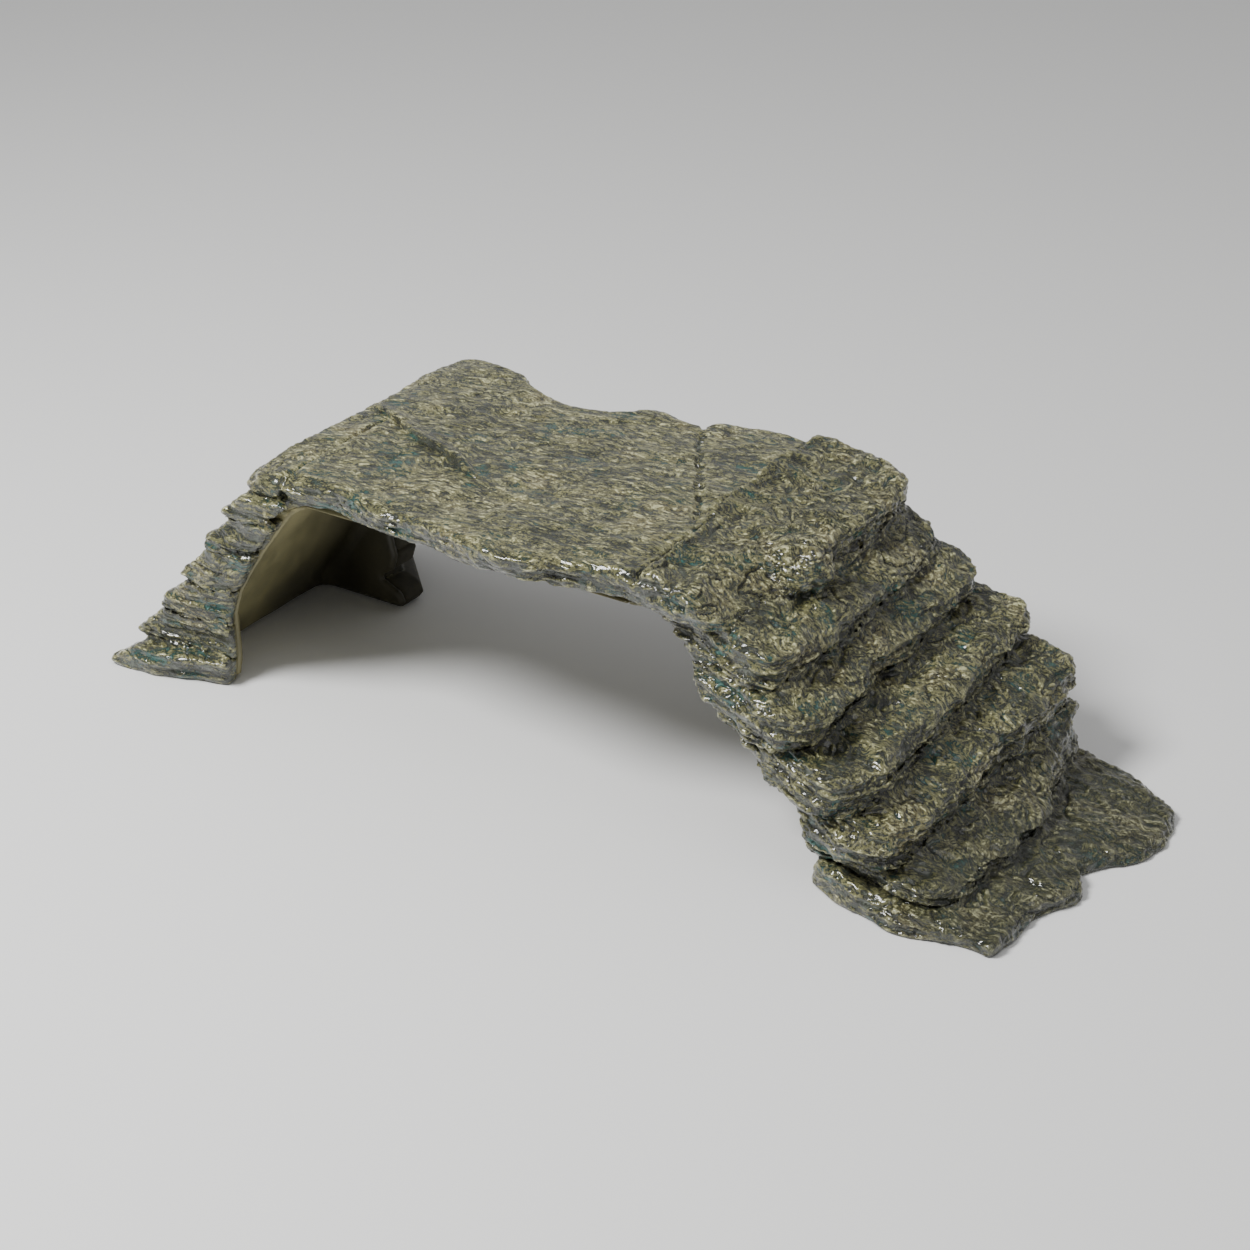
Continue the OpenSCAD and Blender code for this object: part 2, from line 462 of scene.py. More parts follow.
class Slab:
    """A slab of rock between two surfaces, within an outline that varies with its height.

    edge is the radius of its upper edge, ragged and layers say how far its sides wander, dip is the
    slope of its thin layers along X, and above is the slab that lies on it.
    """

    def __init__(self, seed, top, bottom, plan, profile, edge, ragged, layers, dip=0.0, above=None):
        self.seed = seed
        self.top = top
        self.bottom = bottom
        self.plan = plan
        self.profile = profile
        self.edge = edge
        self.ragged = ragged
        self.layers = layers
        self.dip = dip
        self.above = above

    def wander(self, x, y, z):
        """Uneven edges, with thin layers that weather back by different amounts."""
        apart = 7.3 * self.seed
        level = z + self.dip * x
        coarse = 2.0 * ROUGH(x / 24, y / 24, z / 34) + 1.2 * ROUGH(x / 9, y / 9 + apart, z / 12)
        bands = 1.3 * LAYER(x / 34, y / 34 + apart, level / 3.2)
        bands = bands + LAYER(x / 22 + apart, y / 22, level / 1.6)
        return self.ragged * coarse + self.layers * bands

    def shape(self, x, y, z):
        """The slab alone, before the cave is cut from it."""
        top, bottom = self.top(x, y), self.bottom(x, y)
        share = np.clip((z - bottom) / np.maximum(top - bottom, 1), 0, 1)
        side = self.plan(x, y, share)
        side, x3, y3, z3 = np.broadcast_arrays(side + self.profile(share) - SPARE, x, y, z)
        side = np.array(side, np.float32)
        near = np.abs(side) < WANDER_REACH
        side[near] += self.wander(x3[near], y3[near], z3[near])
        return both(both(z - top, side, self.edge), bottom - z, LOWER_EDGE)

    def __call__(self, x, y, z):
        """The slab, with a smooth fillet against the slab that lies on it."""
        body = self.shape(x, y, z)
        if self.above is not None:
            over = self.above.shape(x, y, z)
            on_leg = LEG_WELD + JAMB_WELD * (1 - fade(archway(x, y, z) / 12))
            on_tread = fade((x - DECK_RIGHT) / 20) * fade((y - LOW[1] - 10) / 14)
            radius = mix(FRONT_WELD + np.where(x < 0, on_leg, 0), TREAD_WELD, on_tread)
            body = np.maximum(either(body, over, radius), -over)
        return both(body, -cave(x, y, z), CAVE_EDGE)


def shape_of(heights, insets):
    """A side profile: how far the slab stands back at each share of its height."""
    return lambda share: np.interp(share, heights, insets)


LEDGE_PROFILE = shape_of((0, 0.1, 0.25, 0.6, 1), (0.7, 0.2, 0, 0.2, 0.4))
DECK_PROFILE = shape_of((0, 0.2, 0.45, 0.6, 1), (4.0, 2.2, 1.6, 0.3, 0.4))
STEP_PROFILE = shape_of((0, 0.15, 0.4, 0.7, 1), (2.2, 1.6, 0.9, 0, 0.4))
PLATE_PROFILE = shape_of((0, 1), (0, 0.5))
# What the steps add to their profile: the slope of the bare flank, and the undercut behind the cave
FRONT_SLOPE = shape_of((0, 0.2, 0.4, 0.7, 1), (1.2, 0.4, 0, 1.0, 3.5))
REAR_UNDERCUT = 2.4
# How far the outer tip of each ledge lies from its CAD node, and how far its sloping top runs back
LEDGE_TIPS = (0, -3.5, -4, -1.5, -1.5, -3)
LEDGE_LEAN = shape_of((0, 0.12, 0.28, 1), (1.5, 0, 0.8, 13))
# The inner and rear side of the lowest ledge, round the lobe of its rear foot
FOOT_REAR = [
    (-92, -58), (-92, 15), (-120, 22), (-133, 24), (-128, 33), (-131, 42), (-141, 54), (-150, 62),
]


def ledge_plan(k):
    """Outline of ledge k, which comes to a point at its front left corner."""
    tip = LEDGE_BOX[k][0][0] + LEDGE_TIPS[k - 1]
    front = LOW[1] + (-1 if k == 1 else 7)
    inner = LOW[1] + 8 + 0.8 * (k - 1)
    beak = 9 if k == 1 else 5
    front_side = [
        (tip, front + 2), (tip + 7, front - 1.5), (tip + 22, front), (-146 + 3 * (k - 1), inner),
        (-118, inner + 1),
    ]
    rear_side = [(-92, inner), (-92, 62), (-120, 66)] if k > 1 else FOOT_REAR
    outer_side = [
        (tip + 34, 67), (tip + 14, 64), (tip + beak, 54), (tip + beak - 3, 34), (tip + beak + 3, 12),
        (tip + beak - 1, -10), (tip + beak + 1, -34),
    ]
    outline = Outline(front_side + rear_side + outer_side)
    return lambda x, y, share: outline(x - LEDGE_LEAN(share), y)


def make_ledge(k, above):
    bottom = ground if k == 1 else lambda x, y: joint_height(k - 1, x, y)
    return Slab(
        k, lambda x, y: joint_height(k, x, y), bottom, ledge_plan(k), LEDGE_PROFILE,
        edge=1.6, ragged=0.7, layers=0.9, dip=0.05, above=above,
    )


# Outline of the top course, from the left end and the front of its CAD nodes, in four stretches
COURSE_FRONT = (
    (-4, 18), (2, 13), (10, 12), (20, 12.5), (41, 10), (62, 6.5), (81, 5), (96, 2.5), (110, 0.5),
    (119, -0.5), (131, 1.5), (140, 6), (150, 9), (160, 12), (173, 10), (186, 8.5), (196, 7),
)
COURSE_RIGHT = (
    (204, 12), (208, 22), (210, 40), (209, 62), (210, 84), (211, 106), (210.5, 120), (207, 131),
)
COURSE_REAR = (
    (201, 137), (194, 140.5), (181, 141.5), (174, 142.5), (164, 141), (147, 142), (134, 140.5),
    (126, 138), (120.5, 133), (112, 132.5), (103, 136), (95, 135), (87, 128), (79.5, 125),
    (71.5, 122.5), (62.5, 122.5), (54, 124.5), (42, 130.5), (36, 135), (22, 138), (8, 138),
)
COURSE_LEFT = ((0, 132), (-1, 112), (0, 90), (-2, 70), (-1, 45), (-3, 30))


def course_outline():
    corners = COURSE_FRONT + COURSE_RIGHT + COURSE_REAR + COURSE_LEFT
    return Outline([(LEDGE_BOX[LEDGES][0][0] + u, LOW[1] + v) for u, v in corners])


def leg_bulge(x, y, share):
    """How far the lower part of the front rim stands out, over the steep leg."""
    return 5 * fade((DECK_LEFT + 28 - x) / 26) * fade((0.85 - share) / 0.5) * fade(-y / 20)


def course_plan(outline, left, right):
    """The part of the top course between two cross-cuts."""
    def plan(x, y, share):
        side = outline(x, y) - leg_bulge(x, y, share)
        if left is not None:
            side = np.maximum(side, left - x)
        if right is not None:
            side = np.maximum(side, x - right)
        return side
    return plan


def course_bottom(x, y):
    """Flat over the cave, and wavy along the front rim."""
    rim = fade((SKIN_DECK_BOX[0][1] - y) / 5)
    waves = 1.0 * SLOW(x / 22, y / 16, 8.8) + 2 * bump(x, y, (-10, LOW[1]), (30, 12))
    waves = waves - 1.5 * fade((DECK_LEFT + 20 - x) / 20)
    return CEILING - 0.5 + rim * (0.5 + waves)


# How far the flank runs in at the inner end of a step, and of the lowest step
FLANK_TAPER = 11
LOWEST_TAPER = 5
# How far a step goes on under the one above it, and the radius of its corners
STEP_TUCK = 25
STEP_CORNER = 13


def step_plan(k):
    """Round-cornered outline of step k, whose nose follows its own line."""
    low, high = STEP_BOX[k]
    run_in = LOWEST_TAPER if k == STEPS else FLANK_TAPER

    def plan(x, y, share):
        shift = nose_x(k, y) - high[0]
        taper = run_in * fade((low[0] + 36 - x) / 34) * fade(-y / 20)
        undercut = REAR_UNDERCUT * fade((y - 20) / 30) * fade(1 - share / 0.4)
        front = low[1] + FRONT_SLOPE(share) * fade((x - nose_x(k - 1, y) + 20) / 14)
        box_low, box_high = (low[0] - STEP_TUCK, front), (high[0], high[1])
        return undercut + rounded_box(x - shift, y - taper, box_low, box_high, STEP_CORNER)
    return plan


def make_step(k, above):
    return Slab(
        20 + k, lambda x, y: tread_top(k, x, y), lambda x, y: tread_top(k + 1, x, y),
        step_plan(k), STEP_PROFILE, edge=2.4, ragged=1.1, layers=1.5, dip=0.18, above=above,
    )


# Outline of the apron, starting at its left end; its zero lies at the front of the part, the length of
# the apron left of its tip
APRON_LENGTH = 99
APRON = (
    (5, 26), (7, 17), (12, 10), (25, 5), (38, 1.5), (46.5, 0), (56, 3.5), (65, 6), (73, 6),
    (77.5, 5.5), (79, 12), (80, 23), (81, 35), (85, 43), (89, 51), (87, 58), (84, 62), (83.5, 67),
    (89, 76), (94, 82), (98, 91), (99, 102), (96, 114), (90, 120), (78, 127), (65, 130.5), (45, 134),
    (28, 134), (10, 128), (0, 110), (-2, 60),
)


def make_apron(above):
    tip = STEP_BOX[STEPS + 1][1][0]
    outline = Outline([(tip - APRON_LENGTH + u, LOW[1] + v) for u, v in APRON])
    return Slab(
        40, lambda x, y: tread_top(STEPS + 1, x, y), ground, lambda x, y, share: outline(x, y),
        PLATE_PROFILE, edge=3, ragged=0.8, layers=0.5, above=above,
    )


# Outline of the raised plate, from the left front corner of its CAD node, starting along its ridge
PLATE = (
    (-13, 33), (-4, 30), (3, 27), (11, 22), (20, 15), (29, 11), (39, 9), (49, 5), (58, 0), (70, -2),
    (79, 14), (75, 44), (65, 69), (55, 75), (46, 75.5), (38, 77.5), (26, 83.5), (20, 88), (6, 91),
    (-7, 91), (-15, 84), (-17, 64), (-16, 44),
)
# Height of its ridge above the deck, and how far its hidden parts lie below the deck
PLATE_RISE = 3.6
PLATE_SINK = 2.0
PLATE_DEPTH = 4


def make_plate():
    """The plate, whose ridge stands up along its front and whose right side sinks into the deck."""
    low = PLATE_BOX[0]
    outline = Outline([(low[0] + u, low[1] + v) for u, v in PLATE])

    def top(x, y):
        ridge = fade((outline(x, y) + 8) / 7) * fade((HIGH[1] - 55 - y) / 20)
        sunk = fade((x - low[0] - 26) / 34 - 0.5 * ridge)
        return deck_top(x, y) + mix(PLATE_RISE * (0.3 + 0.7 * ridge), -PLATE_SINK, sunk)
    return Slab(
        50, top, lambda x, y: deck_top(x, y) - PLATE_DEPTH, lambda x, y, share: outline(x, y),
        PLATE_PROFILE, edge=1.0, ragged=0.5, layers=0.4,
    )


# The boulder's place from the middle of its CAD node, its half sizes, and the size of its fillet
BLOCK_SHIFT = (-8, 2, 3)
BLOCK_REACH = (11, 10, 9.5)
BLOCK_WELD = 3.5


def make_block(neighbours):
    """The boulder that bulges from the end slab onto the second tread, blended into both."""
    middle = (BLOCK_BOX[0] + BLOCK_BOX[1]) / 2 + BLOCK_SHIFT

    def block(x, y, z):
        spread = np.sqrt(sum(((a - m) / r) ** 2 for a, m, r in zip((x, y, z), middle, BLOCK_REACH)))
        lumps = 1.8 * ROUGH(x / 9, y / 9, z / 9) + 0.8 * ROUGH(x / 4.5, y / 4.5, z / 4.5)
        body = (spread - 1) * min(BLOCK_REACH) + lumps
        around = [slab.shape(x, y, z) for slab in neighbours]
        for other in around:
            body = either(body, other, BLOCK_WELD)
        return np.maximum(body, -np.minimum(*around))
    return block


# Meshes

# Grids of the deck, which is coarser because the deck is the largest slab, and of the smooth skin
DECK_GRID = max(GRID, 0.8)
SKIN_GRID = 1.2
# Room round each CAD node for the slab's edges and relief, with more above it and beside a step's flank
ROOM = np.array((10, 7, 6))
ROOM_ABOVE = 6
ROOM_BESIDE = 12
# Room round each CAD node of the skin
SKIN_MARGIN = 2
# Height of the streaks, depth of the crevices, and how far the painted shade reaches out of a joint
STREAK_HEIGHT = 0.25
CREVICE = 1.2
CREASE_WIDTH = 1.3
# How many times the surface is averaged before each point is compared with it
SMOOTH_ROUNDS = 5
# Rock below this height stands on the ground and stays flat
FLAT_BELOW = 1.0


def carve(field, low, high, grid):
    """Places, in millimetres, and faces of the closed surface where the field is zero."""
    starts = [math.floor(a / grid) - 3 for a in low]
    counts = [math.ceil(b / grid) + 4 - a for a, b in zip(starts, high)]
    axes = [(start + np.arange(count)) * grid for start, count in zip(starts, counts)]
    x, y, z = np.meshgrid(*axes, indexing="ij", sparse=True)
    values = np.array(np.broadcast_to(field(x, y, z), counts), np.float32, order="C")
    for axis in range(3):
        for end in (0, -1):
            edge = [slice(None)] * 3
            edge[axis] = end
            values[tuple(edge)] = np.maximum(values[tuple(edge)], grid)
    volume = openvdb.FloatGrid(3 * grid)
    volume.copyFromArray(values)
    places, triangles, quads = volume.convertToPolygons(isovalue=0.0, adaptivity=0.0)
    faces = [tuple(f) for f in quads.tolist()] + [tuple(f) for f in triangles.tolist()]
    return (places + np.array(starts)) * grid, faces


def streaks(x, y, z):
    """Worm-like relief: long streaks on the deck and the steep leg, shorter swirls on the stairs."""
    warp_x, warp_y = WARP_X(x / 15, y / 15, z / 15), WARP_Y(x / 15, y / 15, z / 15)
    long_x, long_y = x + 4 * warp_x, y + 1.6 * warp_y - 0.25 * x
    calm = STREAK(long_x / 7.0, long_y / 2.0, z / 1.9)
    calm = calm + 0.6 * GRAIN(long_x / 3.5, long_y / 1.3, z / 1.3)
    twist_x, twist_y = x + 7 * warp_x, y + 7 * warp_y
    swirl = STREAK(twist_x / 3.8, twist_y / 2.1, z / 1.9)
    swirl = swirl + 0.6 * GRAIN(twist_x / 2.0, twist_y / 1.4, z / 1.4)
    return mix(calm, swirl, fade((x - DECK_RIGHT + 6) / 20))


def crags(x, y, z, relief):
    """Streaks, lumps and crevices along the layers; the deck and the steep leg are worn smoother."""
    level = z + 0.15 * x
    lumps = 0.8 * ROUGH(x / 8, y / 8, z / 5) + 0.4 * ROUGH(x / 4, y / 4, z / 3)
    crevice = np.exp(-(LAYER(x / 15, y / 13, level / 2.8) / 0.07) ** 2)
    crevice = crevice * np.clip(0.5 + 1.5 * ROUGH(x / 12, y / 12, z / 9), 0, 1)
    streak = STREAK_HEIGHT * np.clip(relief / 0.3, -1, 1)
    on_deck = fade((x - DECK_LEFT + 20) / 20) * fade((DECK_RIGHT + 6 - x) / 10)
    on_deck = on_deck * fade((z - CEILING - 7) / 4)
    on_leg = fade((DECK_LEFT + 16 - x) / 20)
    return (streak + lumps - CREVICE * crevice) * (1 - 0.65 * on_deck) * (1 - 0.45 * on_leg)


def neighbour_average(values, edges):
    """The mean of each column over the points at the other ends of a point's edges."""
    a, b = edges.T
    count = len(values)
    joined = np.bincount(edges.ravel(), minlength=count)
    columns = [
        np.bincount(a, column[b], count) + np.bincount(b, column[a], count) for column in values.T
    ]
    return np.stack(columns, axis=1) / joined[:, None]


def stands_out(places, normals, edges):
    """How far each point stands proud of the surface round it, in millimetres."""
    smooth = places
    for _ in range(SMOOTH_ROUNDS):
        smooth = neighbour_average(smooth, edges)
    return ((places - smooth) * normals).sum(axis=1)


def numbers(collection, name, width, kind=float):
    values = np.empty(len(collection) * width, kind)
    collection.foreach_get(name, values)
    return values.reshape(-1, width) if width > 1 else values


def add_numbers(mesh, name, values):
    """One number for each point of the mesh, which the materials read by name."""
    layer = mesh.attributes.new(name, "FLOAT", "POINT")
    layer.data.foreach_set("value", np.asarray(values, np.float32))


def bareness(x, y, z):
    """1 on the smooth faces towards the cave and on the rear end of the steep foot, 0 on the rock."""
    # The steep foot's faces towards the archway, behind the cave, count as bare too, so that the
    # painted shade of the cave makes them dark, smooth and unvarnished
    steep_side = np.where((x < 0) & (y > 10), archway(x, y, z), np.inf)
    return 1 - fade((np.minimum(chamber(x, y, z) + OVERLAP, steep_side) - 0.7) / 2.0)


def add_mesh(name, places, faces, material):
    mesh = bpy.data.meshes.new(name)
    mesh.from_pydata((places * MM).tolist(), [], faces)
    mesh.update()
    mesh.shade_smooth()
    mesh.materials.append(material)
    piece = bpy.data.objects.new(name, mesh)
    bpy.context.collection.objects.link(piece)
    return piece


def add_rock(node, field, low, high, neighbours, grid=GRID):
    """Carves a slab, raises the streaks on its rock faces and notes what the paint needs."""
    places, faces = carve(field, low, high, grid)
    piece = add_mesh("rock_" + node, places, faces, PAINTED_ROCK)
    mesh = piece.data
    normals = numbers(mesh.vertex_normals, "vector", 3)
    x, y, z = places.T
    relief = streaks(x, y, z)
    bare = bareness(x, y, z)
    # How close each point lies to a neighbouring slab; the material paints shade into the joints with
    # it, and none near the archway
    crease = np.zeros(len(places))
    for other in neighbours:
        crease = np.maximum(crease, np.exp(-np.maximum(other(x, y, z), 0) / CREASE_WIDTH))
    crease = crease * np.where(x < 0, fade((archway(x, y, z) - 1) / 12), 1)
    raised = crags(x, y, z, relief)
    free = np.where(z < FLAT_BELOW, 0, 1)
    places = places + normals * (raised * (1 - bare) * free)[:, None]
    mesh.vertices.foreach_set("co", (places * MM).ravel())
    mesh.update()
    normals = numbers(mesh.vertex_normals, "vector", 3)
    edges = numbers(mesh.edges, "vertices", 2, np.int32)
    add_numbers(mesh, "relief", relief)
    add_numbers(mesh, "bare", bare)
    add_numbers(mesh, "crease", crease)
    add_numbers(mesh, "proud", stands_out(places, normals, edges))
    add_numbers(mesh, "upward", normals[:, 2])
    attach(piece, BODY)
    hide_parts(node)


def add_skin(node, left, right):
    """Carves one piece of the resin skin."""
    low, high = box(node)
    places, faces = carve(make_skin(left, right), low - SKIN_MARGIN, high + SKIN_MARGIN, SKIN_GRID)
    piece = add_mesh("resin_" + node, places, faces, BARE_RESIN)
    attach(piece, BODY)
    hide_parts(node)


# Materials

def colour(red, green, blue):
    """A screen colour, from 0 to 255, as the shader needs it."""
    return tuple((c / 255) ** 2.2 for c in (red, green, blue)) + (1,)


class Nodes:
    """Short ways to add shader nodes to one material."""

    def __init__(self, name):
        self.material = bpy.data.materials.new(name)
        self.material.use_nodes = True
        self.tree = self.material.node_tree
        self.shader = self.tree.nodes["Principled BSDF"]
        self.place = self.add("ShaderNodeTexCoord").outputs["Object"]

    def add(self, kind, **settings):
        node = self.tree.nodes.new(kind)
        for key, value in settings.items():
            setattr(node, key, value)
        return node

    def plug(self, value, socket):
        if isinstance(value, bpy.types.NodeSocket):
            self.tree.links.new(value, socket)
        else:
            socket.default_value = value

    def math(self, operation, a, b):
        node = self.add("ShaderNodeMath", operation=operation)
        self.plug(a, node.inputs[0])
        self.plug(b, node.inputs[1])
        return node.outputs[0]

    def number(self, name):
        return self.add("ShaderNodeAttribute", attribute_name=name).outputs["Fac"]

    def flow(self, size, reach):
        """Places pushed about by up to reach metres, so that strokes bend round one another."""
        node = self.add("ShaderNodeTexNoise")
        node.inputs["Scale"].default_value = 1 / size
        node.inputs["Detail"].default_value = 1.0
        self.plug(self.place, node.inputs["Vector"])
        push = self.add("ShaderNodeVectorMath", operation="MULTIPLY_ADD")
        self.plug(node.outputs["Color"], push.inputs[0])
        push.inputs[1].default_value = (reach, reach, reach)
        self.plug(self.place, push.inputs[2])
        return push.outputs[0]

    def noise(self, size, detail=2.0, stretch=(1, 1, 1), rough=0.5, turn=0.0, twist=0.0, place=None):
        """Noise from about 0 to 1 whose spots are size metres apart."""
        mapping = self.add("ShaderNodeMapping", vector_type="POINT")
        mapping.inputs["Rotation"].default_value[2] = turn
        mapping.inputs["Scale"].default_value = stretch
        self.plug(self.place if place is None else place, mapping.inputs["Vector"])
        node = self.add("ShaderNodeTexNoise")
        node.inputs["Scale"].default_value = 1 / size
        node.inputs["Detail"].default_value = detail
        node.inputs["Roughness"].default_value = rough
        node.inputs["Distortion"].default_value = twist
        self.plug(mapping.outputs[0], node.inputs["Vector"])
        return node.outputs[0]

    def ramp(self, value, low, high, start=0.0, end=1.0):
        """value from low to high becomes a smooth climb from start to end."""
        node = self.add("ShaderNodeMapRange", interpolation_type="SMOOTHSTEP")
        for socket, number in zip(node.inputs, (value, low, high, start, end)):
            self.plug(number, socket)
        return node.outputs[0]

    def blend(self, share, a, b):
        node = self.add("ShaderNodeMix", data_type="RGBA")
        self.plug(share, node.inputs["Factor"])
        self.plug(a, node.inputs[6])
        self.plug(b, node.inputs[7])
        return node.outputs[2]

    def between(self, share, a, b):
        """A number from a to b."""
        return self.math("ADD", a, self.math("MULTIPLY", share, self.math("SUBTRACT", b, a)))

    def axis(self, which):
        """The place along X, Y or Z, in metres."""
        node = self.add("ShaderNodeSeparateXYZ")
        self.plug(self.place, node.inputs[0])
        return node.outputs[which]

    def shade(self):
        """Painted shade that darkens the resin towards the back of the cave."""
        return self.ramp(self.axis(1), SHADE_FROM * MM, SHADE_TO * MM, 0.0, SHADE_MOST)

    def bump(self, height, distance, strength=1.0):
        node = self.add("ShaderNodeBump")
        node.inputs["Distance"].default_value = distance
        node.inputs["Strength"].default_value = strength
        self.plug(height, node.inputs["Height"])
        return node.outputs[0]


KHAKI = colour(146, 143, 96)
CREAM = colour(200, 198, 150)
OLIVE = colour(112, 112, 72)
SLATE = colour(80, 86, 72)
DARK_SLATE = colour(46, 51, 40)
TEAL = colour(24, 92, 84)
BROWN = colour(112, 96, 60)
BLACK = colour(14, 14, 9)
RESIN = colour(134, 128, 92)
RESIN_DARK = colour(88, 84, 57)
# Colour of the painted shade at the back of the cave
RESIN_SHADE = colour(22, 21, 16)
# Painted shade in the cave, darker towards the back: where it begins, where it is darkest, and how much
# it covers there
SHADE_FROM = -45
SHADE_TO = 25
SHADE_MOST = 0.85


def stroke_height(n, gentle, stairs):
    """Brush strokes, from 0 to 1: long on the deck, curled on the treads and level on the sides."""
    strong = n.flow(0.013, 0.026)
    calm = n.noise(0.0016, 4, stretch=(0.42, 1, 0.9), rough=0.72, turn=-0.2, twist=0.6, place=gentle)
    swirl = n.noise(0.0016, 4, stretch=(0.42, 1, 0.9), rough=0.76, twist=0.8, place=strong)
    layered = n.noise(0.0015, 4, stretch=(0.4, 0.4, 1.3), rough=0.74, twist=0.5, place=gentle)
    sides = n.ramp(n.number("upward"), 0.62, 0.35)
    return n.between(sides, n.between(stairs, calm, swirl), layered)


def brushed_height(n, grain, fine, patches):
    """Above 0 where the dry brush has touched the rock, and below 0 where it hasn't; it leans higher on
    the tops and lower on the sides, partly as painted light and shade.
    """
    # The upward term makes the tops lighter and the sides darker: partly where the dry brush catches,
    # and partly painted light and shade
    terms = (
        (grain, 0.5, 5.0), (fine, 0.5, 1.8), (patches, 0.5, 1.6), (n.number("relief"), 0.0, 0.2),
        (n.number("proud"), 0.0, 0.9), (n.number("upward"), 0.6, 0.35),
    )
    total = 0.0
    for value, middle, weight in terms:
        total = n.math("ADD", total, n.math("MULTIPLY", n.math("SUBTRACT", value, middle), weight))
    return total


def brushed_paint(n, height, patches, stairs):
    """Khaki and cream on the raised strokes, slate and teal between them, black along their edges."""
    tone = n.noise(0.006, 3)
    teal_spots = n.noise(0.011, 3, stretch=(0.7, 1, 1.4))
    high = n.blend(n.ramp(tone, 0.35, 0.65), OLIVE, KHAKI)
    high = n.blend(n.math("MULTIPLY", n.ramp(patches, 0.52, 0.7), 0.45), high, BROWN)
    high = n.blend(n.ramp(height, 0.40, 1.1), high, CREAM)
    low = n.blend(n.ramp(tone, 0.4, 0.62), DARK_SLATE, SLATE)
    low = n.blend(n.math("MULTIPLY", n.ramp(teal_spots, 0.53, 0.66), 0.75), low, TEAL)
    paint = n.blend(n.ramp(height, -0.06, 0.10), low, high)
    edge = n.math("MULTIPLY", n.ramp(height, -0.50, -0.22), n.ramp(height, 0.02, -0.10))
    return n.blend(n.math("MULTIPLY", edge, n.between(stairs, 0.75, 0.9)), paint, BLACK)


def painted_shade_and_hollows(n, paint, fine):
    """The paint with painted shade in the joints, black in the hollows, and painted shade over the flat
    of the apron.
    """
    # Painted shade near the joints with the neighbouring slabs, with black pits where that shade is
    # strongest
    pits = n.math("MULTIPLY", n.ramp(n.number("crease"), 0.25, 0.9), n.ramp(fine, 0.60, 0.40))
    paint = n.blend(n.math("MULTIPLY", n.number("crease"), 0.45), paint, DARK_SLATE)
    paint = n.blend(n.math("MULTIPLY", pits, 0.8), paint, BLACK)
    hollow = n.ramp(n.number("proud"), -0.25, -0.75)
    paint = n.blend(n.math("MULTIPLY", hollow, 0.8), paint, BLACK)
    # Painted shade over the low flat of the apron, growing towards its right end and towards the floor
    apron = n.math("MULTIPLY", n.ramp(n.axis(0), 0.125, 0.165), n.ramp(n.axis(2), 0.026, 0.010))
    return n.blend(n.math("MULTIPLY", apron, 0.55), paint, DARK_SLATE)


def cave_resin(n, wash):
    """Bare resin, under painted shade that darkens it towards the back of the cave."""
    return n.blend(n.shade(), n.blend(wash, RESIN_DARK, RESIN), RESIN_SHADE)


def painted_rock():
    """Dry-brushed rock under a gloss varnish, and plain resin on the faces towards the cave."""
    n = Nodes("painted_rock")
    bare = n.number("bare")
    rock = n.math("SUBTRACT", 1.0, bare)
    fine = n.noise(0.0009, 2, rough=0.7)
    patches = n.noise(0.018, 3)
    gentle = n.flow(0.020, 0.012)
    stairs = n.ramp(n.axis(0), (DECK_RIGHT - 8) * MM, (DECK_RIGHT + 14) * MM)
    height = brushed_height(n, stroke_height(n, gentle, stairs), fine, patches)
    paint = painted_shade_and_hollows(n, brushed_paint(n, height, patches, stairs), fine)
    resin = cave_resin(n, n.ramp(n.noise(0.006, 3), 0.3, 0.7))
    n.plug(n.blend(bare, paint, resin), n.shader.inputs["Base Color"])
    polish = n.ramp(fine, 0.3, 0.75, 0.28, 0.55)
    n.plug(n.between(bare, polish, 0.75), n.shader.inputs["Roughness"])
    worn = n.math("ADD", n.ramp(height, -0.8, 1.0), n.math("MULTIPLY", fine, 0.5))
    worn = n.math("MULTIPLY", worn, rock)
    n.plug(n.bump(worn, 0.0010), n.shader.inputs["Normal"])
    varnish = n.noise(0.0022, 1, stretch=(0.45, 1, 1), place=gentle)
    n.plug(n.bump(varnish, 0.0004), n.shader.inputs["Coat Normal"])
    n.plug(rock, n.shader.inputs["Coat Weight"])
    n.shader.inputs["Coat Roughness"].default_value = 0.09
    return n.material


def bare_resin():
    """Smooth olive resin, brushed thinly with a darker wash, under painted shade towards the back of
    the cave.
    """
    n = Nodes("bare_resin")
    wash = n.noise(0.020, 3, stretch=(1, 1, 0.35))
    fine = n.noise(0.0016, 2)
    n.plug(cave_resin(n, n.ramp(wash, 0.3, 0.72)), n.shader.inputs["Base Color"])
    n.plug(n.ramp(wash, 0.3, 0.7, 0.42, 0.6), n.shader.inputs["Roughness"])
    n.plug(n.bump(fine, 0.0003, 0.35), n.shader.inputs["Normal"])
    return n.material


# Pieces

PAINTED_ROCK = painted_rock()
BARE_RESIN = bare_resin()


def step_one_bottom(x, y):
    return np.minimum(tread_top(2, x, y), course_bottom(x, y))


